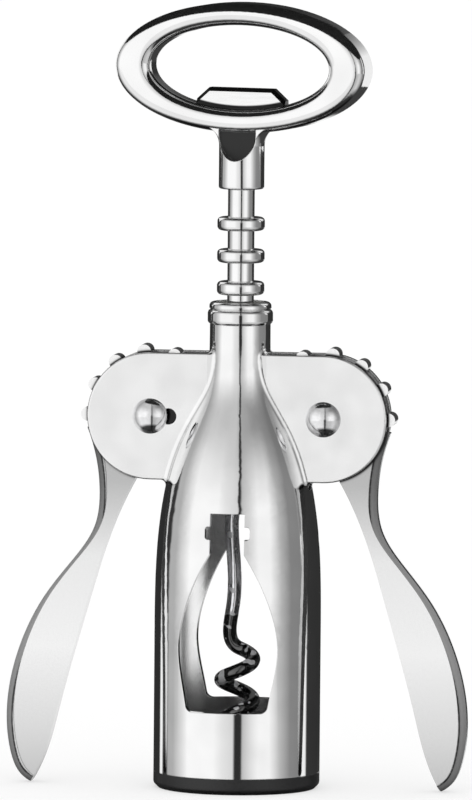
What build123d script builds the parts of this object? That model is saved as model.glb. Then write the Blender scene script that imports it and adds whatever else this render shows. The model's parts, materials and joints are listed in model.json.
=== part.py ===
from build123d import *
from math import cos, pi, radians, sin
import os

# Winged corkscrew: a bottle-shaped body, two geared levers and a ringed rack that turns the worm's pull.
# Millimetres. Z is the bottle's axis, the table is z = 0, the front faces -Y and the levers swing in XZ.

# Running and seating clearances, each on the radius or per side
run_gap = 0.08
seat_gap = 0.03
side_gap = 0.25
end_gap = 0.15

# Wire worm
wire_r = 1.5
worm_r = 3.5
worm_pitch = 9.0
worm_low_z = 5.2
worm_top_z = 29.95
lead_in_bow = (-1.2, 1.0)
lead_in_bow_rise = 9.55
lead_in_top_bow = (-1.25, 0.4)
lead_in_return = 8.0
point_length = 4.0
point_r = 0.15

# Ringed rack: a sleeve that slides with the handle while the worm turns inside it
ring_pitch = 7.0
ring_r = 5.16
ring_thickness = 2.9
ring_round = 0.9
ring_count = 8
rings_above_pivot = 6
rack_core_r = 2.9
rack_neck_length = 6.15
rack_tail = 1.6
collar_r = 2.8
collar_height = 2.4

# Gears on the levers
gear_teeth_full_circle = 13
tooth_above_pitch = 1.017
tooth_below_pitch = 1.083
tooth_round_r = 1.5
teeth_below_mesh = 2
teeth_above_mesh = 7
ring_bite = 0.64
gear_sweep_gap = 0.45

# Levers
lever_thickness = 5.2
lever_face_step = 0.35
lever_spine_round = 1.7
lever_tip_z = 0.15
rim_shift = (-1.75, 0.9)

# Ears and rivets
pivot_z = 81.0
ear_r = 13.85
ear_thickness = 1.7
ear_edge_round = 0.4
ear_root_fillet = 1.3
pin_r = 2.4
rivet_head_r = 3.85
rivet_head_height = 2.1
pin_tail_r = 1.5
pin_tail_length = 1.1
key_notch_r = 1.75
key_notch_offset = 4.05

# Bottle body
body_r = 18.1
body_wall = 1.8
belly_z = 30.0
neck_r = 6.6
neck_length = 5.4
neck_bore_length = 15.9
neck_bore_gap = 0.34
bead_r = 7.1
bead_height = 3.3
bead_round = 0.9
body_top_z = 104.4
window_sill_z = 17.8
window_sill_width = 17.6
window_belly_rise = 15.2
window_belly_width = 21.6
window_shoulder_rise = 25.7
window_shoulder_width = 16.4
window_neck_rise = 34.5
window_neck_width = 7.5
window_neck_length = 3.2
window_lip_width = 9.8
window_lip_height = 2.8
window_lip_round = 0.7
window_mouth_length = 2.8
window_corner_r = 1.6

# Base ring
base_ring_height = 3.5
base_ring_round = 1.0
mouth_chamfer = 0.6
spigot_wall = 1.27
spigot_height = 8.5

# Neck cap and guide bush
cap_r = 6.75
cap_height = 1.6
cap_round = 0.9
cap_groove_height = 0.25
cap_groove_depth = 0.3
bush_r = 6.1
bush_height = 3.3
bush_depth = 2.5

# Handle: an oval ring on a round boss, turned a little on the spindle
handle_turn = 11.0
handle_half_width = 28.6
handle_half_height = 14.1
handle_thickness = 7.4
handle_outer_round = 2.1
handle_inner_round = 2.3
opening_half_width = 20.5
opening_half_height = 9.15
opening_rise = 0.15
boss_r = 4.95
boss_height = 12.2
boss_flare = 4.5
boss_flare_half_depth = 3.15
boss_sink = 1.7
boss_edge_round = 0.5
recess_depth = 2.4
recess_height = 6.0
recess_half_width = 4.3
shank_depth = 10.4
handle_pin_r = 0.8
handle_pin_rise = 4.2
handle_pin_reach = 3.2
handle_pin_inset = 0.2

# Cap lifter plate let into the lower side of the handle's opening
lifter_thickness = 2.6
lifter_top_half = 7.4
lifter_foot_half = 10.2
lifter_height = 4.6
lifter_shoulder = 2.1
lifter_tang = 1.2
lifter_chamfer = 0.8

# Cuts run past the surface by this much, and heights closer than the tolerance count as equal
cut_margin = 1.0
tolerance = 0.01

# Sizes that follow from the ones above
gear_pitch_r = gear_teeth_full_circle * ring_pitch / (2 * pi)
gear_tip_r = gear_pitch_r + tooth_above_pitch
gear_root_r = gear_pitch_r - tooth_below_pitch
tooth_angle = 360 / gear_teeth_full_circle
pivot_x = gear_pitch_r + ring_r - ring_bite
lever_drop = pivot_z - lever_tip_z
ear_gap = lever_thickness + 2 * side_gap
ear_outer_y = ear_gap / 2 + ear_thickness
cavity_r = body_r - body_wall
mouth_r = cavity_r - seat_gap - spigot_wall
neck_foot_z = body_top_z - neck_length
neck_bore_r = ring_r + neck_bore_gap
top_ring_z = pivot_z + rings_above_pivot * ring_pitch
low_ring_z = top_ring_z - (ring_count - 1) * ring_pitch
rack_bottom_z = low_ring_z - ring_thickness / 2 - rack_tail
lead_in_z = rack_bottom_z - end_gap - collar_height - end_gap
boss_bottom_z = top_ring_z + ring_thickness / 2 + rack_neck_length
sleeve_top_z = boss_bottom_z - end_gap
shank_top_z = boss_bottom_z + shank_depth
handle_pin_z = boss_bottom_z + handle_pin_rise
handle_bottom_z = boss_bottom_z + boss_height
handle_z = handle_bottom_z + handle_half_height
opening_z = handle_z + opening_rise
opening_bottom_z = opening_z - opening_half_height

window_lip_low_z = window_sill_z + window_neck_rise + window_neck_length
window_lip_high_z = window_lip_low_z + window_lip_height
window_top_z = window_lip_high_z + window_mouth_length
lifter_top_z = opening_bottom_z + lifter_height
lifter_foot_z = opening_bottom_z + lifter_shoulder
lifter_tang_z = opening_bottom_z - lifter_tang

# The handle's own plane: its face looks forward and a little to the left
turn = radians(handle_turn)
handle_right = (cos(turn), -sin(turn), 0)
handle_front = (-sin(turn), -cos(turn), 0)
handle_plane = Plane(origin=(0, 0, 0), x_dir=handle_right, z_dir=handle_front)
pin_plane = Plane(origin=(0, 0, handle_pin_z), x_dir=handle_right, z_dir=handle_front)

os.makedirs("parts", exist_ok=True)


def save(block, label):
    block.part.label = label
    export_step(block.part, f"parts/{label}.step")


# Bottle body: the shoulder's points as shares of the way in and of the way up, from belly to neck
shoulder_shares = [(0, 0), (0.13, 0.464), (0.5, 0.6855), (0.852, 0.8087), (1, 1)]
shoulder_outline = [
    (body_r - inward * (body_r - neck_r), belly_z + upward * (neck_foot_z - belly_z))
    for inward, upward in shoulder_shares
]
neck_bore_foot = (neck_bore_r, body_top_z - neck_bore_length)
cavity_outline = [(r - body_wall, z) for r, z in shoulder_outline[:-1]] + [neck_bore_foot]

# Both pairs of ears, as two plates that run from pivot to pivot
with BuildPart() as ear_plates:
    for start in (ear_gap / 2, -ear_outer_y):
        with BuildSketch(Plane.XZ.offset(start)):
            with Locations((0, pivot_z)):
                Rectangle(2 * pivot_x, 2 * ear_r)
            with Locations((-pivot_x, pivot_z), (pivot_x, pivot_z)):
                Circle(ear_r)
        extrude(amount=ear_thickness)
    outer_faces = [faces().sort_by(Axis.Y)[0], faces().sort_by(Axis.Y)[-1]]
    fillet([e for f in outer_faces for e in f.edges()], ear_edge_round)

with BuildPart() as bottle_body:
    with BuildSketch(Plane.XZ):
        with BuildLine():
            Line((0, base_ring_height), (body_r, base_ring_height))
            Line((body_r, base_ring_height), (body_r, belly_z))
            Spline(shoulder_outline, tangents=[(0, 1), (0, 1)])
            Line((neck_r, neck_foot_z), (neck_r, body_top_z))
            Line((neck_r, body_top_z), (0, body_top_z))
            Line((0, body_top_z), (0, base_ring_height))
        make_face()
    revolve(axis=Axis.Z)
    add(ear_plates.part)
    root_edges = [
        e
        for e in edges().filter_by(GeomType.BSPLINE)
        if abs(abs(e.center().Y) - ear_outer_y) < tolerance and e.length > ear_r
    ]
    fillet(root_edges, ear_root_fillet)
    # Bead under the neck cap
    with BuildSketch(Plane.XZ) as bead:
        with Locations((bead_r / 2, body_top_z - bead_height / 2)):
            Rectangle(bead_r, bead_height)
        fillet(bead.vertices().group_by(Axis.X)[-1], bead_round)
    revolve(axis=Axis.Z)
    # Hollow inside, narrowing to the neck's bore
    with BuildSketch(Plane.XZ):
        with BuildLine():
            Line((0, 0), (cavity_r, 0))
            Line((cavity_r, 0), (cavity_r, belly_z))
            Spline(cavity_outline, tangents=[(0, 1), (-0.4, 1)])
            Polyline(neck_bore_foot, (neck_bore_r, body_top_z), (0, body_top_z), (0, 0))
        make_face()
    revolve(axis=Axis.Z, mode=Mode.SUBTRACT)
    # Seat of the guide bush
    with BuildSketch(Plane.XY.offset(body_top_z - bush_depth)):
        Circle(bush_r + seat_gap)
    extrude(amount=bush_depth, mode=Mode.SUBTRACT)
    # Slots that let the gears reach the rack
    with BuildSketch(Plane.XZ):
        with Locations((-pivot_x, pivot_z), (pivot_x, pivot_z)):
            Circle(gear_tip_r + gear_sweep_gap)
    extrude(amount=ear_gap / 2, both=True, mode=Mode.SUBTRACT)
    # Rivet holes, and the key notch beside the left rivet
    with BuildSketch(Plane.XZ):
        with Locations((-pivot_x, pivot_z), (pivot_x, pivot_z)):
            Circle(pin_r + seat_gap)
    extrude(amount=ear_outer_y + cut_margin, both=True, mode=Mode.SUBTRACT)
    with BuildSketch(Plane.XZ.offset(ear_gap / 2)):
        with Locations((-pivot_x + key_notch_offset, pivot_z)):
            Circle(key_notch_r)
    extrude(amount=ear_thickness + cut_margin, mode=Mode.SUBTRACT)
    # Bottle-shaped windows, front and back
    with BuildSketch(Plane.XZ) as window:
        with BuildLine():
            Line((0, window_sill_z), (window_sill_width / 2, window_sill_z))
            side = Spline(
                (window_sill_width / 2, window_sill_z),
                (window_belly_width / 2, window_sill_z + window_belly_rise),
                (window_shoulder_width / 2, window_sill_z + window_shoulder_rise),
                (window_neck_width / 2, window_sill_z + window_neck_rise),
                tangents=[(0.15, 1), (-0.6, 1)],
            )
            Polyline(
                side @ 1,
                (window_neck_width / 2, window_lip_low_z),
                (window_lip_width / 2, window_lip_low_z),
                (window_lip_width / 2, window_lip_high_z),
                (window_neck_width / 2, window_lip_high_z),
                (window_neck_width / 2, window_top_z),
                (0, window_top_z),
            )
            mirror(about=Plane.YZ)
        make_face()
        fillet(window.vertices().group_by(Axis.Y)[0], window_corner_r)
        lip_corners = [v for v in window.vertices() if v.Y > window_lip_low_z - tolerance]
        fillet([v for v in lip_corners if abs(v.X) > window_neck_width / 2 + tolerance], window_lip_round)
    extrude(amount=body_r + cut_margin, both=True, mode=Mode.SUBTRACT)
save(bottle_body, "bottle_body")

with BuildPart() as base_ring:
    with BuildSketch(Plane.XZ) as ring_section:
        with BuildLine():
            Polyline(
                (mouth_r + mouth_chamfer, 0),
                (body_r - base_ring_round, 0),
                (body_r, base_ring_round),
                (body_r, base_ring_height),
                (cavity_r - seat_gap, base_ring_height),
                (cavity_r - seat_gap, base_ring_height + spigot_height),
                (mouth_r, base_ring_height + spigot_height),
                (mouth_r, mouth_chamfer),
                close=True,
            )
        make_face()
        lower_outside = ring_section.vertices().group_by(Axis.X)[-1].sort_by(Axis.Y)[0]
        fillet(lower_outside, base_ring_round)
    revolve(axis=Axis.Z)
save(base_ring, "base_ring")

with BuildPart() as neck_bush:
    with BuildSketch(Plane.XY.offset(body_top_z - bush_depth)):
        Circle(bush_r)
        Circle(ring_r + run_gap, mode=Mode.SUBTRACT)
    extrude(amount=bush_height)
save(neck_bush, "neck_bush")

with BuildPart() as neck_cap:
    with BuildSketch(Plane.XY.offset(body_top_z)):
        Circle(cap_r - cap_groove_depth)
    extrude(amount=cap_height)
    with BuildSketch(Plane.XY.offset(body_top_z + cap_groove_height)):
        Circle(cap_r)
    extrude(amount=cap_height - cap_groove_height)
    fillet(edges().group_by(Axis.Z)[-1], cap_round)
    with BuildSketch(Plane.XY.offset(body_top_z)):
        Circle(neck_bore_r)
    extrude(amount=cap_height, mode=Mode.SUBTRACT)
    with BuildSketch(Plane.XY.offset(body_top_z)):
        Circle(bush_r + seat_gap)
    extrude(amount=bush_height - bush_depth, mode=Mode.SUBTRACT)
save(neck_cap, "neck_cap")


# Lever outline to the right of its pivot at rest: millimetres outward, and share of the drop to the tip
spine_points = [
    (14.3, 0.037),
    (12.1, 0.131),
    (11.5, 0.205),
    (12.4, 0.299),
    (17.5, 0.399),
    (23.6, 0.498),
    (28.6, 0.623),
    (31.6, 0.8),
    (30.8, 0.915),
    (28.9, 0.973),
    (26.2, 1),
]
palm_points = [
    (26.2, 1),
    (24.9, 0.972),
    (20.1, 0.785),
    (14.2, 0.523),
    (8.5, 0.301),
    (3.4, 0.169),
]


def lever_outline():
    spine_line, palm_line = [
        [(out, -share * lever_drop) for out, share in points] for points in (spine_points, palm_points)
    ]
    with BuildSketch() as outline:
        with BuildLine():
            spine = Spline(spine_line)
            palm = Spline(palm_line)
            Polyline(palm @ 1, (0, 0), spine @ 0)
        make_face()
    return outline.sketch


def lever_teeth():
    first = 180 - tooth_angle * (teeth_above_mesh - 0.5)
    angles = [first + tooth_angle * n for n in range(teeth_above_mesh + teeth_below_mesh)]
    tooth_reach = gear_tip_r - tooth_round_r
    foot_reach = gear_root_r - tooth_round_r
    with BuildSketch() as teeth:
        with Locations(*[Rotation(0, 0, a) * Pos((tooth_reach + foot_reach) / 2, 0) for a in angles]):
            SlotCenterToCenter(tooth_reach - foot_reach, 2 * tooth_round_r)
    return teeth.sketch


def build_lever(hand, label):
    front = Plane(origin=(hand * pivot_x, 0, pivot_z), x_dir=(1, 0, 0), z_dir=(0, -1, 0))
    outline = lever_outline()
    palm = outline.moved(Location((rim_shift[0], rim_shift[1], 0)))
    head = lever_teeth()
    if hand < 0:
        outline, palm, head = [mirror(s, about=Plane.YZ) for s in (outline, palm, head)]
    with BuildPart() as lever:
        with BuildSketch(front):
            add(outline)
        extrude(amount=lever_thickness / 2, both=True)
        face_edges = edges().group_by(Axis.Y)[0] + edges().group_by(Axis.Y)[-1]
        fillet(face_edges.filter_by(GeomType.BSPLINE).sort_by(SortBy.LENGTH)[-2:], lever_spine_round)
        for side in (1, -1):
            with BuildSketch(front.offset(side * lever_thickness / 2)):
                add(palm)
            extrude(amount=-side * lever_face_step, mode=Mode.SUBTRACT)
        with BuildSketch(front):
            Circle(gear_root_r)
            add(head)
        extrude(amount=lever_thickness / 2, both=True)
        with BuildSketch(front):
            Circle(pin_r + run_gap)
        extrude(amount=lever_thickness, both=True, mode=Mode.SUBTRACT)
    save(lever, label)
    return lever


left_lever = build_lever(-1, "left_lever")
right_lever = build_lever(1, "right_lever")


def build_rivet(hand, side):
    front = Plane(origin=(hand * pivot_x, -ear_outer_y, pivot_z), x_dir=(1, 0, 0), z_dir=(0, -1, 0))
    back = Plane(origin=(hand * pivot_x, ear_outer_y, pivot_z), x_dir=(1, 0, 0), z_dir=(0, 1, 0))
    dome_r = (rivet_head_r**2 + rivet_head_height**2) / (2 * rivet_head_height)
    dome_rise = rivet_head_height - dome_r
    with BuildPart() as pin:
        with Locations(front.offset(dome_rise)):
            Sphere(dome_r)
        split(bisect_by=front)
        with BuildSketch(front):
            Circle(pin_r)
        extrude(amount=-2 * ear_outer_y)
        with BuildSketch(back):
            Circle(pin_tail_r)
        extrude(amount=pin_tail_length)
    save(pin, f"{side}_pivot_pin")
    with BuildPart() as cap:
        with Locations(back.offset(dome_rise)):
            Sphere(dome_r)
        split(bisect_by=back)
        with BuildSketch(back):
            Circle(pin_tail_r + seat_gap)
        extrude(amount=pin_tail_length + seat_gap, mode=Mode.SUBTRACT)
    save(cap, f"{side}_pin_cap")


build_rivet(-1, "left")
build_rivet(1, "right")

with BuildPart() as rack_sleeve:
    with BuildSketch(Plane.XY.offset(rack_bottom_z)):
        Circle(rack_core_r)
    extrude(amount=sleeve_top_z - rack_bottom_z)
    for n in range(ring_count):
        with BuildSketch(Plane.XZ) as ring_profile:
            with Locations((ring_r / 2, low_ring_z + n * ring_pitch)):
                Rectangle(ring_r, ring_thickness)
            fillet(ring_profile.vertices().group_by(Axis.X)[-1], ring_round)
        revolve(axis=Axis.Z)
    with BuildSketch(Plane.XY.offset(rack_bottom_z)):
        Circle(wire_r + run_gap)
    extrude(amount=sleeve_top_z - rack_bottom_z, mode=Mode.SUBTRACT)
save(rack_sleeve, "rack_sleeve")

with BuildPart() as stop_collar:
    with BuildSketch(Plane.XY.offset(rack_bottom_z - end_gap)):
        Circle(collar_r)
        Circle(wire_r + seat_gap, mode=Mode.SUBTRACT)
    extrude(amount=-collar_height)
save(stop_collar, "stop_collar")

# Worm: a straight shank, a lead-in that bows out, and a right-handed helix down to the point
helix_height = worm_top_z - worm_low_z
low_angle = pi / 2 - 2 * pi * helix_height / worm_pitch
low_plane = Plane(origin=(0, 0, worm_low_z), x_dir=(cos(low_angle), sin(low_angle), 0), z_dir=(0, 0, 1))
rise_per_radian = worm_pitch / (2 * pi)
helix = low_plane * Helix(worm_pitch, helix_height, worm_r)
lead_in = Spline(
    (0, worm_r, worm_top_z),
    (*lead_in_bow, worm_top_z + lead_in_bow_rise),
    (*lead_in_top_bow, lead_in_z - lead_in_return),
    (0, 0, lead_in_z),
    tangents=[(-worm_r, 0, rise_per_radian), (0, 0, 1)],
)
shank = Line((0, 0, lead_in_z), (0, 0, shank_top_z))
low_direction = helix % 0
with BuildPart() as worm:
    with BuildSketch(Plane(origin=helix @ 0, z_dir=low_direction)):
        Circle(wire_r)
    sweep(path=Wire([helix, lead_in, shank]))
    point_root = Plane(origin=helix @ 0, z_dir=-low_direction)
    with BuildSketch(point_root):
        Circle(wire_r)
    with BuildSketch(point_root.offset(point_length)):
        Circle(point_r)
    loft()
    with BuildSketch(pin_plane):
        Circle(handle_pin_r + seat_gap)
    extrude(amount=2 * wire_r, both=True, mode=Mode.SUBTRACT)
save(worm, "worm")

# Handle boss: a round post that flares into the ring, with half an oval cut in its front and back
with BuildPart() as boss:
    flare_z = handle_bottom_z - boss_flare + boss_sink
    with BuildSketch(handle_plane) as boss_profile:
        with BuildLine():
            Line((0, boss_bottom_z), (boss_r, boss_bottom_z))
            Line((boss_r, boss_bottom_z), (boss_r, flare_z))
            flare = JernArc((boss_r, flare_z), (0, 1), boss_flare, -90)
            Line(flare @ 1, (0, flare_z + boss_flare))
            Line((0, flare_z + boss_flare), (0, boss_bottom_z))
        make_face()
        fillet(boss_profile.vertices().group_by(Axis.Y)[0].sort_by(Axis.X)[-1], boss_edge_round)
    revolve(axis=Axis.Z)
    for side in (1, -1):
        with BuildSketch(handle_plane.offset(side * (boss_r - recess_depth))):
            with Locations((0, handle_bottom_z)):
                Ellipse(recess_half_width, recess_height)
        extrude(amount=side * (recess_depth + boss_flare), mode=Mode.SUBTRACT)
        # The flare keeps within the ring's thickness
        with BuildSketch(handle_plane.offset(side * boss_flare_half_depth)):
            with Locations((0, (flare_z + handle_z) / 2)):
                Rectangle(2 * (boss_r + boss_flare + cut_margin), handle_z - flare_z)
        extrude(amount=side * (boss_r + boss_flare), mode=Mode.SUBTRACT)

lifter_outline = [
    (-lifter_foot_half, lifter_tang_z),
    (-lifter_foot_half, lifter_foot_z),
    (-lifter_top_half, lifter_top_z),
    (lifter_top_half, lifter_top_z),
    (lifter_foot_half, lifter_foot_z),
    (lifter_foot_half, lifter_tang_z),
]

with BuildPart() as handle:
    with BuildSketch(handle_plane):
        with Locations((0, handle_z)):
            Ellipse(handle_half_width, handle_half_height)
        with Locations((0, opening_z)):
            Ellipse(opening_half_width, opening_half_height, mode=Mode.SUBTRACT)
    extrude(amount=handle_thickness / 2, both=True)
    rim_edges = edges().filter_by(GeomType.ELLIPSE).sort_by(SortBy.LENGTH)
    fillet(rim_edges[:2], handle_inner_round)
    fillet(edges().filter_by(GeomType.ELLIPSE).sort_by(SortBy.LENGTH)[-2:], handle_outer_round)
    add(boss.part)
    with BuildSketch(Plane.XY.offset(boss_bottom_z)):
        Circle(wire_r + seat_gap)
    extrude(amount=shank_depth + seat_gap, mode=Mode.SUBTRACT)
    # Hole for the cross pin, drilled from the back and blind at the front
    with BuildSketch(pin_plane.offset(handle_pin_reach + seat_gap)):
        Circle(handle_pin_r + seat_gap)
    extrude(amount=-(handle_pin_reach + seat_gap + boss_r + cut_margin), mode=Mode.SUBTRACT)
    with BuildSketch(handle_plane):
        Polygon(*lifter_outline, align=None)
        offset(amount=seat_gap, kind=Kind.INTERSECTION)
    extrude(amount=lifter_thickness / 2 + seat_gap, both=True, mode=Mode.SUBTRACT)
save(handle, "handle")

with BuildPart() as cap_lifter:
    with BuildSketch(handle_plane):
        Polygon(*lifter_outline, align=None)
    extrude(amount=lifter_thickness / 2, both=True)
    lip_edges = faces().sort_by(Axis((0, 0, 0), handle_front))[-1].edges()
    chamfer([e for e in lip_edges if e.center().Z > lifter_foot_z], lifter_chamfer)
save(cap_lifter, "cap_lifter")

with BuildPart() as handle_pin:
    with BuildSketch(pin_plane.offset(handle_pin_reach)):
        Circle(handle_pin_r)
    extrude(amount=-(handle_pin_reach + boss_r - handle_pin_inset))
save(handle_pin, "handle_pin")
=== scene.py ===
import bpy
import json
from math import cos, radians, sin
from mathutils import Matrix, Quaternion, Vector


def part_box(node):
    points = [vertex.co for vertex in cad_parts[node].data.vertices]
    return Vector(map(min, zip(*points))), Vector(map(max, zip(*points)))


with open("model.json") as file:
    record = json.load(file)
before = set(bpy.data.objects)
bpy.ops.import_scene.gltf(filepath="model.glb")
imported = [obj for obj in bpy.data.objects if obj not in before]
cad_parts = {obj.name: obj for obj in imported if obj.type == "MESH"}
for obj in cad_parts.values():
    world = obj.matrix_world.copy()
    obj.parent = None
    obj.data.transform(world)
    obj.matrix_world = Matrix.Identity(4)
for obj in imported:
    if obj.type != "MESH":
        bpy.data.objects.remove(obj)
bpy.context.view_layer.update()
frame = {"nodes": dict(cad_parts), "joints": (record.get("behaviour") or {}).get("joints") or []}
nodes = frame["nodes"]
lever_pivot = next(joint["pos_m"] for joint in frame["joints"] if joint["name"] == "right_hinge")
millimetre = 0.001


def linear(hex_colour):
    channels = [int(hex_colour[i : i + 2], 16) / 255 for i in (1, 3, 5)]
    return [c / 12.92 if c <= 0.04045 else ((c + 0.055) / 1.055) ** 2.4 for c in channels] + [1.0]


def add_node(tree, kind, inputs=None, **settings):
    node = tree.nodes.new(kind)
    for name, value in settings.items():
        setattr(node, name, value)
    for socket, value in (inputs or {}).items():
        if isinstance(value, bpy.types.NodeSocket):
            tree.links.new(value, node.inputs[socket])
        else:
            node.inputs[socket].default_value = value
    return node


# A brightness or a colour that changes with a measured value, by stops that lie between low and high
def graded(tree, value, stops, low=0.0, high=1.0):
    share = add_node(tree, "ShaderNodeMapRange", {0: value, 1: low, 2: high})
    band = add_node(tree, "ShaderNodeValToRGB", {0: share.outputs[0]})
    points = band.color_ramp.elements
    while len(points) < len(stops):
        points.new(1.0)
    for point, (place, level) in zip(points, stops):
        point.position = (place - low) / (high - low)
        point.color = linear(level) if isinstance(level, str) else (level, level, level, 1.0)
    return band.outputs[0]


# The same, by stops in millimetres along a height or a distance of at most full_length
def graded_along(tree, length, stops, full_length=200):
    in_metres = [(place * millimetre, level) for place, level in stops]
    return graded(tree, length, in_metres, 0.0, full_length * millimetre)


# A gloss or a colour that wanders between two values with a noise, most of which lies from 0.3 to 0.7
def mottled(tree, noise, first, second):
    return graded(tree, noise, [(0.3, first), (0.7, second)])


# Camera: long lens, a little to the right of the front and a little above
camera_turn = radians(8.5)
camera_rise = radians(5.0)
camera_roll = radians(0.5)
camera_distance = 3.2
picture_height = 173.9 * millimetre
picture_centre = Vector((-0.8, 0.0, 84.5)) * millimetre

back = Vector((sin(camera_turn) * cos(camera_rise), -cos(camera_turn) * cos(camera_rise), sin(camera_rise)))
camera_data = bpy.data.cameras.new("camera")
camera_data.sensor_width = 36.0
camera_data.lens = camera_data.sensor_width * camera_distance / picture_height
camera_data.clip_start = 0.1
camera_data.clip_end = 20.0
camera = bpy.data.objects.new("camera", camera_data)
camera.location = picture_centre + back * camera_distance
camera.rotation_mode = "QUATERNION"
camera.rotation_quaternion = (-back).to_track_quat("-Z", "Y") @ Quaternion((0, 0, 1), camera_roll)
bpy.context.scene.collection.objects.link(camera)
bpy.context.scene.camera = camera
bpy.context.scene.view_settings.view_transform = "Standard"

# Studio: white light all round, except that mirrors see soft boxes. Each list goes round the object and gives
# their brightness by compass angle, 0 in front and positive to the right. The two front boxes leave a slit
# near 10 degrees, which mirrors as the dark line down the middle of each round piece
left_boxes = [
    (-180, 0.03), (-127, 0.03), (-124, 1.1), (-119, 1.1), (-116, 0.04), (-106, 0.04),
    (-103, 0.5), (-91, 0.5), (-75, 0.85), (-64, 1.15), (-24, 1.15), (-12, 0.95),
]
right_boxes = [
    (26, 0.85), (38, 1.1), (55, 1.1), (72, 0.55), (88, 0.28),
    (108, 0.26), (110, 1.1), (119, 1.1), (122, 0.04), (180, 0.03),
]
floor_in_front = [
    (-106, 0.05), (-90, 0.5), (-64, 1.0), (-12, 0.95), (3, 0.8), (5, 0.05), (14, 0.05),
    (16, 0.5), (32, 0.6), (60, 0.75), (95, 0.4), (120, 0.06),
]
eye_level_boxes = [*left_boxes, (3, 0.8), (5, 0.03), (14, 0.03), (16, 0.6), *right_boxes]
lowered_boxes = [(-180, 1.0), (-168, 1.0), (-160, 0.05), *floor_in_front, (160, 0.06), (168, 1.0), (180, 1.0)]
floor_boxes = [(-180, 0.05), *floor_in_front, (180, 0.05)]
shoulder_boxes = [*left_boxes, (7, 0.8), (8.2, 0.03), (12, 0.03), (13.2, 0.6), *right_boxes]
raised_boxes = [
    (-180, 0.35), (-150, 0.3), (-110, 0.2), (-80, 0.5), (-50, 0.66), (0, 0.66), (7, 0.55), (8.2, 0.03),
    (12.2, 0.03), (13.4, 0.46), (30, 0.42), (60, 0.27), (100, 0.15), (150, 0.3), (180, 0.35),
]

# Heights, in degrees over the horizon, at which the other lists take over from the one at eye level, and the
# share of all of them that is left far down and straight up
other_levels = [
    (lowered_boxes, [(-8.6, 1.0), (-6.8, 0.0)]),
    (floor_boxes, [(-14, 1.0), (-11, 0.0)]),
    (shoulder_boxes, [(-3, 0.0), (3, 1.0)]),
    (raised_boxes, [(12, 0.0), (45, 1.0)]),
]
height_fade = [(-90, 0.03), (-56, 0.06), (-42, 1.0), (74, 1.0), (88, 0.1), (90, 0.1)]

world = bpy.data.worlds.new("studio")
bpy.context.scene.world = world
world.use_nodes = True
tree = world.node_tree
tree.nodes.clear()
place = add_node(tree, "ShaderNodeTexCoord")
axes = add_node(tree, "ShaderNodeSeparateXYZ", {0: place.outputs["Generated"]})
front = add_node(tree, "ShaderNodeMath", {0: axes.outputs["Y"], 1: -1.0}, operation="MULTIPLY")
compass = add_node(tree, "ShaderNodeMath", {0: axes.outputs["X"], 1: front.outputs[0]}, operation="ARCTAN2")
compass = add_node(tree, "ShaderNodeMath", {0: compass.outputs[0]}, operation="DEGREES")
height = add_node(tree, "ShaderNodeMath", {0: axes.outputs["Z"]}, operation="ARCSINE")
height = add_node(tree, "ShaderNodeMath", {0: height.outputs[0]}, operation="DEGREES")
boxes = graded(tree, compass.outputs[0], eye_level_boxes, -180, 180)
for level_boxes, share_by_height in other_levels:
    share = graded(tree, height.outputs[0], share_by_height, -90, 90)
    level = graded(tree, compass.outputs[0], level_boxes, -180, 180)
    boxes = add_node(tree, "ShaderNodeMix", {0: share, 6: boxes, 7: level}, data_type="RGBA").outputs[2]
fade = graded(tree, height.outputs[0], height_fade, -90, 90)
boxes = add_node(tree, "ShaderNodeMix", {0: 1.0, 6: boxes, 7: fade}, data_type="RGBA", blend_type="MULTIPLY")
path = add_node(tree, "ShaderNodeLightPath")
seen = add_node(
    tree, "ShaderNodeMix",
    {0: path.outputs["Is Glossy Ray"], 6: linear("#ffffff"), 7: boxes.outputs[2]}, data_type="RGBA",
)
light = add_node(tree, "ShaderNodeBackground", {0: seen.outputs[2], 1: 1.0})
add_node(tree, "ShaderNodeOutputWorld", {0: light.outputs[0]})


def start_material(name):
    material = bpy.data.materials.new(name)
    material.use_nodes = True
    tree = material.node_tree
    tree.nodes.clear()
    shader = add_node(tree, "ShaderNodeBsdfPrincipled")
    add_node(tree, "ShaderNodeOutputMaterial", {0: shader.outputs[0]})
    place = add_node(tree, "ShaderNodeTexCoord")
    return material, tree, shader, place.outputs


# Dead matt studio board, paper or velvet, which may also glow white
def start_matt_material(name, colour):
    material, tree, shader, place = start_material(name)
    shader.inputs["Base Color"].default_value = linear(colour)
    shader.inputs["Roughness"].default_value = 1.0
    shader.inputs["Specular IOR Level"].default_value = 0.0
    shader.inputs["Emission Color"].default_value = linear("#ffffff")
    return material, tree, shader, place


def dress(material, *names):
    for name in names:
        slots = nodes[name].data.materials
        slots.clear()
        slots.append(material)


def only_mirrored(card):
    card.visible_camera = False
    card.visible_diffuse = False
    card.visible_transmission = False
    card.visible_shadow = False


# Studio card that only mirrors see, in millimetres: its centre seen from above, the compass angle that it
# faces, its width, its low and high edge, and its glow by height
def stand_card(name, centre, facing, width, low, high, glow):
    bpy.ops.object.select_all(action="DESELECT")
    bpy.ops.mesh.primitive_plane_add(size=1, rotation=(radians(90), 0, radians(facing)))
    card = bpy.context.object
    card.location = Vector((*centre, (low + high) / 2)) * millimetre
    card.scale = Vector((width, high - low, 1)) * millimetre
    bpy.ops.object.transform_apply(location=True, rotation=True, scale=True)
    card.name = name
    board, tree, shader, place = start_matt_material(name, "#050505")
    axes = add_node(tree, "ShaderNodeSeparateXYZ", {0: place["Object"]})
    tree.links.new(graded_along(tree, axes.outputs["Z"], glow), shader.inputs["Emission Strength"])
    card.data.materials.append(board)
    only_mirrored(card)


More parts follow.
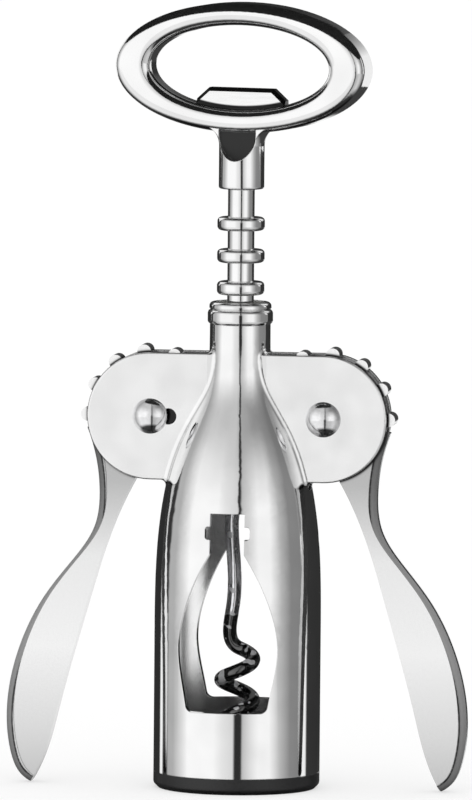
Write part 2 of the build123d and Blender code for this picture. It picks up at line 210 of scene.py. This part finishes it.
stand_card("card_behind_handle_right", (49, 54), 155, 36, 134, 192, [(134, 1.0), (174, 1.0), (190, 0.1)])
stand_card("card_behind_handle_left", (-58, 45), -146, 60, 140, 185, [(140, 1.0), (185, 1.0)])
stand_card("card_beside_rack_right", (274, 122), 114, 84, 64, 118, [(64, 0.26), (118, 0.26)])
stand_card("card_beside_rack_left", (-254, 159), -122, 56, 64, 118, [(64, 0.04), (118, 0.04)])

# Black velvet flag over the handle, for what its upper edges mirror
flag_height = 183 * millimetre
flag_half_depth = 50 * millimetre
flag_width_to_depth = 1.5
bpy.ops.object.select_all(action="DESELECT")
bpy.ops.mesh.primitive_circle_add(
    vertices=64, radius=flag_half_depth, fill_type="NGON", location=(0, 0, flag_height)
)
flag = bpy.context.object
flag.scale.x = flag_width_to_depth
bpy.ops.object.transform_apply(location=True, rotation=True, scale=True)
flag.name = "overhead_flag"
velvet, tree, shader, place = start_matt_material("black_velvet", "#343434")
flag.data.materials.append(velvet)
only_mirrored(flag)

# Sizes in the finishes. The wheel leaves scratches of a few hundredths of a millimetre and the blasting a
# grain of about a tenth. Both are too fine to show, so both are drawn coarser here
casting_wave = 7 * millimetre
handle_wave = 9 * millimetre
wave_depth = 0.008 * millimetre
body_wave_depth = 0.005 * millimetre
edge_rounding = 0.25 * millimetre
wheel_mark = 1.2 * millimetre
tumbling_mark = 0.8 * millimetre
tumbling_depth = 0.001 * millimetre
blasted_grain = 0.45 * millimetre
blasted_depth = 0.01 * millimetre


# Chrome plate on a polished casting: a mirror with long soft waves and slightly rounded edges
def plate(tree, place, wave, depth):
    waves = add_node(
        tree, "ShaderNodeTexNoise", {"Vector": place["Object"], "Scale": 1 / wave, "Detail": 1.0}
    )
    round_edge = add_node(tree, "ShaderNodeBevel", {"Radius": edge_rounding}, samples=4)
    relief = add_node(
        tree, "ShaderNodeBump",
        {"Height": waves.outputs[0], "Distance": depth, "Normal": round_edge.outputs[0]},
    )
    colour = mottled(tree, waves.outputs[0], "#e5e5e5", "#ededed")
    return waves.outputs[0], colour, relief.outputs[0]


# Gloss of that plate, with the faint marks of the polishing wheel
def wheel_gloss(tree, place):
    marks = add_node(
        tree, "ShaderNodeTexNoise", {"Vector": place["Object"], "Scale": 1 / wheel_mark, "Detail": 4.0}
    )
    return mottled(tree, marks.outputs[0], 0.04, 0.09)


# Chrome plate on polished zinc: the small turned and cast pieces, mirror-bright all over
chrome, tree, shader, place = start_material("chrome_on_polished_zinc")
shader.inputs["Metallic"].default_value = 1.0
waves, mirror_colour, relief = plate(tree, place, casting_wave, wave_depth)
tree.links.new(mirror_colour, shader.inputs["Base Color"])
tree.links.new(relief, shader.inputs["Normal"])
tree.links.new(wheel_gloss(tree, place), shader.inputs["Roughness"])
dress(chrome, "neck_cap", "rack_sleeve", "stop_collar", "handle_pin")

# Rivets: steel polished by tumbling, so their domes mirror a little more softly than the plate
tumbled, tree, shader, place = start_material("tumbled_steel")
shader.inputs["Metallic"].default_value = 1.0
marks = add_node(
    tree, "ShaderNodeTexNoise", {"Vector": place["Object"], "Scale": 1 / tumbling_mark, "Detail": 4.0}
)
colour = mottled(tree, marks.outputs[0], "#e2e2e3", "#eeeeef")
gloss = mottled(tree, marks.outputs[0], 0.1, 0.14)
relief = add_node(tree, "ShaderNodeBump", {"Height": marks.outputs[0], "Distance": tumbling_depth})
tree.links.new(colour, shader.inputs["Base Color"])
tree.links.new(gloss, shader.inputs["Roughness"])
tree.links.new(relief.outputs[0], shader.inputs["Normal"])
dress(tumbled, "left_pivot_pin", "right_pivot_pin", "left_pin_cap", "right_pin_cap")

# Handle's own directions and heights: it is turned a little, and its ring ends where the boss starts
handle_turn = radians(11.0)
handle_front = (-sin(handle_turn), -cos(handle_turn), 0)
handle_right = (cos(handle_turn), -sin(handle_turn), 0)
ring_half_height = 13.9 * millimetre
opening_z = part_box("handle")[1].z - ring_half_height
ring_bottom_z = opening_z - ring_half_height
opening_half_width = 20.5 * millimetre
opening_half_height = 9.15 * millimetre
recess_floor_back = 2.45 * millimetre
recess_floor_front = 2.65 * millimetre
squarely_forward = 0.95
recess_black = "#161616"
recess_roughness = 0.5

# Handle: the same chrome, with the floor of the recess under the ring coloured black and not metallic.
# The recess's floor is flat, faces the front or the back, and lies under the ring at a depth of its own
recessed, tree, shader, place = start_material("chrome_with_black_recess")
waves, mirror_colour, relief = plate(tree, place, handle_wave, wave_depth)
tree.links.new(relief, shader.inputs["Normal"])
axes = add_node(tree, "ShaderNodeSeparateXYZ", {0: place["Object"]})
depth = add_node(tree, "ShaderNodeVectorMath", {0: place["Object"], 1: handle_front}, operation="DOT_PRODUCT")
depth = add_node(tree, "ShaderNodeMath", {0: depth.outputs["Value"]}, operation="ABSOLUTE")
forward = add_node(
    tree, "ShaderNodeVectorMath", {0: place["Normal"], 1: handle_front}, operation="DOT_PRODUCT"
)
forward = add_node(tree, "ShaderNodeMath", {0: forward.outputs["Value"]}, operation="ABSOLUTE")
forward = add_node(
    tree, "ShaderNodeMath", {0: forward.outputs[0], 1: squarely_forward}, operation="GREATER_THAN"
)
under_ring = add_node(tree, "ShaderNodeMath", {0: axes.outputs["Z"], 1: ring_bottom_z}, operation="LESS_THAN")
not_before = add_node(
    tree, "ShaderNodeMath", {0: depth.outputs[0], 1: recess_floor_front}, operation="LESS_THAN"
)
not_behind = add_node(
    tree, "ShaderNodeMath", {0: depth.outputs[0], 1: recess_floor_back}, operation="GREATER_THAN"
)
recess = forward.outputs[0]
for limit in (under_ring, not_before, not_behind):
    recess = add_node(
        tree, "ShaderNodeMath", {0: recess, 1: limit.outputs[0]}, operation="MULTIPLY"
    ).outputs[0]
plated = add_node(tree, "ShaderNodeMath", {0: 1.0, 1: recess}, operation="SUBTRACT")
colour = add_node(
    tree, "ShaderNodeMix", {0: recess, 6: mirror_colour, 7: linear(recess_black)}, data_type="RGBA"
)
gloss = add_node(
    tree, "ShaderNodeMix",
    {0: recess, 6: wheel_gloss(tree, place), 7: 3 * [recess_roughness] + [1.0]}, data_type="RGBA",
)
tree.links.new(colour.outputs[2], shader.inputs["Base Color"])
tree.links.new(plated.outputs[0], shader.inputs["Metallic"])
tree.links.new(gloss.outputs[2], shader.inputs["Roughness"])
dress(recessed, "handle")

# Body casting: the same chrome outside, blasted satin faces on the ears, and plated but unpolished walls
# inside, with painted shade in a band up the bell and on the windows' cut walls
neck_half_width = 6.5 * millimetre
window_half_width = 12 * millimetre
bell_top_z = 62 * millimetre
ear_flatness = (0.975, 0.99)
curved_facing_y = 0.3
cut_facing_x = 0.6
inside_facing = -0.6
# The windows' cut walls are dark grey, as painted shade along the windows' edges
cut_wall_painted_shade = "#303030"
polished_roughness = 0.05
unpolished_roughness = 0.2

casting, tree, shader, place = start_material("chrome_and_cast_zinc")
shader.inputs["Metallic"].default_value = 1.0
axes = add_node(tree, "ShaderNodeSeparateXYZ", {0: place["Object"]})
across = add_node(tree, "ShaderNodeMath", {0: axes.outputs["X"]}, operation="ABSOLUTE")
facing = add_node(tree, "ShaderNodeSeparateXYZ", {0: place["Normal"]})
facing_x = add_node(tree, "ShaderNodeMath", {0: facing.outputs["X"]}, operation="ABSOLUTE")
facing_y = add_node(tree, "ShaderNodeMath", {0: facing.outputs["Y"]}, operation="ABSOLUTE")

# Ears: flat faces to the front and back, clear of the neck
flat = add_node(
    tree, "ShaderNodeMapRange", {0: facing_y.outputs[0], 1: ear_flatness[0], 2: ear_flatness[1]}
)
beside_neck = add_node(
    tree, "ShaderNodeMath", {0: across.outputs[0], 1: neck_half_width}, operation="GREATER_THAN"
)
ear = add_node(tree, "ShaderNodeMath", {0: flat.outputs[0], 1: beside_neck.outputs[0]}, operation="MULTIPLY")

# Cut walls of the windows: they face sideways, within the windows' width, unlike the curved inside wall
outside_window = add_node(
    tree, "ShaderNodeMath", {0: across.outputs[0], 1: window_half_width}, operation="GREATER_THAN"
)
curved = add_node(
    tree, "ShaderNodeMath", {0: facing_y.outputs[0], 1: curved_facing_y}, operation="GREATER_THAN"
)
not_cut = add_node(
    tree, "ShaderNodeMath", {0: outside_window.outputs[0], 1: curved.outputs[0]}, operation="MAXIMUM"
)
sideways = add_node(
    tree, "ShaderNodeMath", {0: facing_x.outputs[0], 1: cut_facing_x}, operation="GREATER_THAN"
)
in_bell = add_node(tree, "ShaderNodeMath", {0: axes.outputs["Z"], 1: bell_top_z}, operation="LESS_THAN")
cut_wall = add_node(tree, "ShaderNodeMath", {0: 1.0, 1: not_cut.outputs[0]}, operation="SUBTRACT")
for limit in (sideways, in_bell):
    cut_wall = add_node(
        tree, "ShaderNodeMath", {0: cut_wall.outputs[0], 1: limit.outputs[0]}, operation="MULTIPLY"
    )

# Inside wall: it faces the bottle's axis
outward = add_node(tree, "ShaderNodeVectorMath", {0: place["Object"], 1: (1, 1, 0)}, operation="MULTIPLY")
outward = add_node(tree, "ShaderNodeVectorMath", {0: outward.outputs[0]}, operation="NORMALIZE")
outward = add_node(
    tree, "ShaderNodeVectorMath", {0: outward.outputs[0], 1: place["Normal"]}, operation="DOT_PRODUCT"
)
inside = add_node(
    tree, "ShaderNodeMath", {0: outward.outputs["Value"], 1: inside_facing}, operation="LESS_THAN"
)
inside = add_node(tree, "ShaderNodeMath", {0: inside.outputs[0], 1: not_cut.outputs[0]}, operation="MULTIPLY")

# Finish of each. The bell's inside wall gets a band of painted shade, rising with the distance from the
# middle
band_rise = 0.8
painted_shade_up_the_bell = [(34, 1.0), (39, 0.8), (44, 0.5), (49, 0.7), (53, 1.0)]
waves, mirror_colour, relief = plate(tree, place, casting_wave, body_wave_depth)
grain = add_node(
    tree, "ShaderNodeTexNoise", {"Vector": place["Object"], "Scale": 1 / blasted_grain, "Detail": 2.0}
)
grain = add_node(tree, "ShaderNodeMath", {0: grain.outputs[0], 1: ear.outputs[0]}, operation="MULTIPLY")
relief = add_node(
    tree, "ShaderNodeBump", {"Height": grain.outputs[0], "Distance": blasted_depth, "Normal": relief}
)
satin_colour = mottled(tree, waves, "#eeeeee", "#f8f8f8")
cast_colour = mottled(tree, waves, "#fafafa", "#ffffff")
up_the_bell = add_node(
    tree, "ShaderNodeMath",
    {0: across.outputs[0], 1: -band_rise, 2: axes.outputs["Z"]}, operation="MULTIPLY_ADD",
)
bell_painted_shade = graded_along(tree, up_the_bell.outputs[0], painted_shade_up_the_bell, 100)
cast_colour = add_node(
    tree, "ShaderNodeMix", {0: 1.0, 6: cast_colour, 7: bell_painted_shade}, data_type="RGBA", blend_type="MULTIPLY"
).outputs[2]
colour = mirror_colour
for part, finish in ((ear, satin_colour), (inside, cast_colour), (cut_wall, linear(cut_wall_painted_shade))):
    colour = add_node(
        tree, "ShaderNodeMix", {0: part.outputs[0], 6: colour, 7: finish}, data_type="RGBA"
    ).outputs[2]
unpolished = add_node(tree, "ShaderNodeMath", {0: ear.outputs[0], 1: inside.outputs[0]}, operation="MAXIMUM")
gloss = add_node(
    tree, "ShaderNodeMapRange", {0: unpolished.outputs[0], 3: polished_roughness, 4: unpolished_roughness}
)
tree.links.new(colour, shader.inputs["Base Color"])
tree.links.new(relief.outputs[0], shader.inputs["Normal"])
tree.links.new(gloss.outputs[0], shader.inputs["Roughness"])
dress(casting, "bottle_body")

# Satin chrome levers: bead-blasted faces, with a grey rim and a dark line along the face's edge that are
# painted reflection. The first three lists go by how squarely the surface faces front or back, from an edge
# at 0 to a flat face at 1. The other two are painted shade, by the height and by the distance from the pivot:
# greyer at the tip and just below the ears, and dark round the hub and between the gear's crests
# Painted reflection: grey on the rim, and a dark line where the face meets it
rim_painted_reflection = [
    (0.0, 1.0), (0.05, 1.0), (0.1, 0.42), (0.9, 0.36),
    (0.965, 0.3), (0.975, 0.03), (0.99, 0.03), (0.996, 1.0),
]
rim_gloss = [(0.0, 0.2), (0.05, 0.2), (0.1, 0.45), (0.99, 0.45), (0.996, 0.2)]
rim_metal_share = [(0.0, 1.0), (0.05, 1.0), (0.1, 0.3), (0.99, 0.3), (0.996, 1.0)]
# Painted shade up the lever and round the gear, in millimetres
painted_shade_up_the_lever = [
    (0, "#cccccc"), (12, "#e6e6e6"), (30, "#ffffff"), (50, "#f6f6f6"),
    (66.5, "#c6c6c6"), (76, "#c0c0c0"), (78, "#ffffff"),
]
painted_shade_round_the_gear = [(14.1, 0.03), (14.5, 1.0)]

satin, tree, shader, place = start_material("bead_blasted_chrome")
axes = add_node(tree, "ShaderNodeSeparateXYZ", {0: place["Object"]})
across = add_node(tree, "ShaderNodeMath", {0: axes.outputs["X"]}, operation="ABSOLUTE")
facing = add_node(tree, "ShaderNodeSeparateXYZ", {0: place["Normal"]})
facing_y = add_node(tree, "ShaderNodeMath", {0: facing.outputs["Y"]}, operation="ABSOLUTE")
from_pivot = add_node(tree, "ShaderNodeCombineXYZ", {0: across.outputs[0], 2: axes.outputs["Z"]})
from_pivot = add_node(
    tree, "ShaderNodeVectorMath", {0: from_pivot.outputs[0], 1: lever_pivot}, operation="DISTANCE"
)
grain = add_node(
    tree, "ShaderNodeTexNoise", {"Vector": place["Object"], "Scale": 1 / blasted_grain, "Detail": 2.0}
)
colour = graded_along(tree, axes.outputs["Z"], painted_shade_up_the_lever, 100)
shades = (
    graded(tree, facing_y.outputs[0], rim_painted_reflection),
    mottled(tree, grain.outputs[0], 0.96, 1.0),
    graded_along(tree, from_pivot.outputs["Value"], painted_shade_round_the_gear, 100),
)
for shade in shades:
    colour = add_node(
        tree, "ShaderNodeMix", {0: 1.0, 6: colour, 7: shade}, data_type="RGBA", blend_type="MULTIPLY"
    ).outputs[2]
relief = add_node(tree, "ShaderNodeBump", {"Height": grain.outputs[0], "Distance": blasted_depth})
tree.links.new(colour, shader.inputs["Base Color"])
tree.links.new(relief.outputs[0], shader.inputs["Normal"])
tree.links.new(graded(tree, facing_y.outputs[0], rim_gloss), shader.inputs["Roughness"])
tree.links.new(graded(tree, facing_y.outputs[0], rim_metal_share), shader.inputs["Metallic"])
dress(satin, "left_lever", "right_lever")

# Brushed steel plate of the cap lifter: bright face with strokes along the handle, and painted shade on its
# edges and at its foot where it meets the ring's opening. Real strokes are finer, and are drawn coarser so
# that they show
stroke_width = 0.3 * millimetre
stroke_stretch = 20
stroke_depth = 0.006 * millimetre
face_flatness = (0.95, 0.98)
foot_in_opening = (0.9, 0.93)

brushed, tree, shader, place = start_material("brushed_steel_plate")
shader.inputs["Metallic"].default_value = 1.0
strokes = add_node(
    tree, "ShaderNodeMapping",
    {"Vector": place["Object"], "Scale": (1 / stroke_stretch, 1 / stroke_stretch, 1.0)},
)
strokes = add_node(
    tree, "ShaderNodeTexNoise", {"Vector": strokes.outputs[0], "Scale": 1 / stroke_width, "Detail": 3.0}
)
forward = add_node(
    tree, "ShaderNodeVectorMath", {0: place["Normal"], 1: handle_front}, operation="DOT_PRODUCT"
)
forward = add_node(tree, "ShaderNodeMath", {0: forward.outputs["Value"]}, operation="ABSOLUTE")
face = add_node(
    tree, "ShaderNodeMapRange", {0: forward.outputs[0], 1: face_flatness[0], 2: face_flatness[1]}
)
sideways = add_node(
    tree, "ShaderNodeVectorMath", {0: place["Object"], 1: handle_right}, operation="DOT_PRODUCT"
)
axes = add_node(tree, "ShaderNodeSeparateXYZ", {0: place["Object"]})
rise = add_node(tree, "ShaderNodeMath", {0: axes.outputs["Z"], 1: opening_z}, operation="SUBTRACT")
oval = add_node(tree, "ShaderNodeCombineXYZ", {0: sideways.outputs["Value"], 1: rise.outputs[0]})
oval = add_node(
    tree, "ShaderNodeVectorMath",
    {0: oval.outputs[0], 1: (opening_half_width, opening_half_height, 1.0)}, operation="DIVIDE",
)
oval = add_node(tree, "ShaderNodeVectorMath", {0: oval.outputs[0]}, operation="LENGTH")
over_foot = add_node(
    tree, "ShaderNodeMapRange",
    {0: oval.outputs["Value"], 1: foot_in_opening[0], 2: foot_in_opening[1], 3: 1.0, 4: 0.0},
)
face = add_node(tree, "ShaderNodeMath", {0: face.outputs[0], 1: over_foot.outputs[0]}, operation="MULTIPLY")
face_colour = mottled(tree, strokes.outputs[0], "#e6e6e6", "#f8f8f8")
# Painted shade on the plate's edges and at its foot
edge_and_foot_painted_shade = mottled(tree, strokes.outputs[0], "#1c1c1c", "#2e2e2e")
colour = add_node(
    tree, "ShaderNodeMix", {0: face.outputs[0], 6: edge_and_foot_painted_shade, 7: face_colour}, data_type="RGBA"
)
gloss = mottled(tree, strokes.outputs[0], 0.22, 0.32)
relief = add_node(tree, "ShaderNodeBump", {"Height": strokes.outputs[0], "Distance": stroke_depth})
tree.links.new(colour.outputs[2], shader.inputs["Base Color"])
tree.links.new(gloss, shader.inputs["Roughness"])
tree.links.new(relief.outputs[0], shader.inputs["Normal"])
dress(brushed, "cap_lifter")

# Black ABS base ring, moulded with a fine texture that is soft to the eye
mould_grain = 0.5 * millimetre
mould_depth = 0.02 * millimetre

abs_plastic, tree, shader, place = start_material("moulded_black_abs")
grain = add_node(
    tree, "ShaderNodeTexNoise", {"Vector": place["Object"], "Scale": 1 / mould_grain, "Detail": 2.0}
)
colour = mottled(tree, grain.outputs[0], "#151516", "#222223")
gloss = mottled(tree, grain.outputs[0], 0.38, 0.5)
relief = add_node(tree, "ShaderNodeBump", {"Height": grain.outputs[0], "Distance": mould_depth})
tree.links.new(colour, shader.inputs["Base Color"])
tree.links.new(gloss, shader.inputs["Roughness"])
tree.links.new(relief.outputs[0], shader.inputs["Normal"])
dress(abs_plastic, "base_ring")

# White acetal guide bush, moulded smooth, with the resin's faint clouds
resin_cloud = 2 * millimetre

acetal, tree, shader, place = start_material("moulded_acetal")
shader.inputs["Roughness"].default_value = 0.35
cloud = add_node(
    tree, "ShaderNodeTexNoise", {"Vector": place["Object"], "Scale": 1 / resin_cloud, "Detail": 2.0}
)
colour = mottled(tree, cloud.outputs[0], "#d8d8d4", "#e6e6e2")
tree.links.new(colour, shader.inputs["Base Color"])
dress(acetal, "neck_bush")

# Steel wire: bright shank, and a glossy black non-stick coat on the coils, with an uneven upper edge and
# painted highlights: pale, mostly matt spots that stand in for glints on the coat. The IOR is raised to the
# coat's deep gloss
coat_top_z = 37.5 * millimetre
coat_edge_wander = 0.8 * millimetre
coat_edge_patch = 1.5 * millimetre
coat_edge_width = 0.2 * millimetre
painted_glint_size = 2.4 * millimetre
painted_glint_from, painted_glint_to = 0.61, 0.63
painted_glint_dullness = 0.8
wire_grain = 0.6 * millimetre
wire_depth = 0.015 * millimetre
coat_ior = 2.1
coat_roughness = 0.1
painted_glint_roughness = 0.35

coat, tree, shader, place = start_material("steel_wire_with_black_coat")
shader.inputs["IOR"].default_value = coat_ior
axes = add_node(tree, "ShaderNodeSeparateXYZ", {0: place["Object"]})
edge = add_node(
    tree, "ShaderNodeTexNoise", {"Vector": place["Object"], "Scale": 1 / coat_edge_patch, "Detail": 2.0}
)
edge = add_node(tree, "ShaderNodeMapRange", {0: edge.outputs[0], 3: -coat_edge_wander, 4: coat_edge_wander})
edge = add_node(tree, "ShaderNodeMath", {0: axes.outputs["Z"], 1: edge.outputs[0]}, operation="ADD")
shank = add_node(
    tree, "ShaderNodeMapRange", {0: edge.outputs[0], 1: coat_top_z, 2: coat_top_z + coat_edge_width}
)
# Painted highlights: spots of pale steel colour on the coat
painted_glint = add_node(
    tree, "ShaderNodeTexNoise", {"Vector": place["Object"], "Scale": 1 / painted_glint_size, "Detail": 1.0}
)
painted_glint = add_node(tree, "ShaderNodeMapRange", {0: painted_glint.outputs[0], 1: painted_glint_from, 2: painted_glint_to})
shank_and_painted_glints = add_node(tree, "ShaderNodeMath", {0: shank.outputs[0], 1: painted_glint.outputs[0]}, operation="MAXIMUM")
painted_glint_matt = add_node(tree, "ShaderNodeMath", {0: painted_glint.outputs[0], 1: painted_glint_dullness}, operation="MULTIPLY")
bright = add_node(
    tree, "ShaderNodeMath", {0: shank_and_painted_glints.outputs[0], 1: painted_glint_matt.outputs[0]}, operation="SUBTRACT", use_clamp=True
)
grain = add_node(
    tree, "ShaderNodeTexNoise", {"Vector": place["Object"], "Scale": 1 / wire_grain, "Detail": 3.0}
)
coat_colour = mottled(tree, grain.outputs[0], "#070707", "#131313")
wire_colour = mottled(tree, grain.outputs[0], "#ececee", "#f8f8fa")
colour = add_node(
    tree, "ShaderNodeMix", {0: shank_and_painted_glints.outputs[0], 6: coat_colour, 7: wire_colour}, data_type="RGBA"
)
gloss = add_node(
    tree, "ShaderNodeMapRange", {0: painted_glint.outputs[0], 3: coat_roughness, 4: painted_glint_roughness}
)
relief = add_node(tree, "ShaderNodeBump", {"Height": grain.outputs[0], "Distance": wire_depth})
tree.links.new(colour.outputs[2], shader.inputs["Base Color"])
tree.links.new(bright.outputs[0], shader.inputs["Metallic"])
tree.links.new(gloss.outputs[0], shader.inputs["Roughness"])
tree.links.new(relief.outputs[0], shader.inputs["Normal"])
dress(coat, "worm")

# Floor: white paper that shows white to the camera and keeps the object's shadow. Mirrors don't see it,
# because the lists of soft boxes hold what they see from below
floor_size = 24
paper_glow = 0.56
bpy.ops.object.select_all(action="DESELECT")
bpy.ops.mesh.primitive_plane_add(size=floor_size, location=(0, 0, 0))
floor = bpy.context.object
floor.name = "floor"
paper, tree, shader, place = start_matt_material("white_paper", "#b3b3b3")
path = add_node(tree, "ShaderNodeLightPath")
glow = add_node(
    tree, "ShaderNodeMath", {0: path.outputs["Is Camera Ray"], 1: paper_glow}, operation="MULTIPLY"
)
tree.links.new(glow.outputs[0], shader.inputs["Emission Strength"])
floor.data.materials.append(paper)
floor.visible_glossy = False
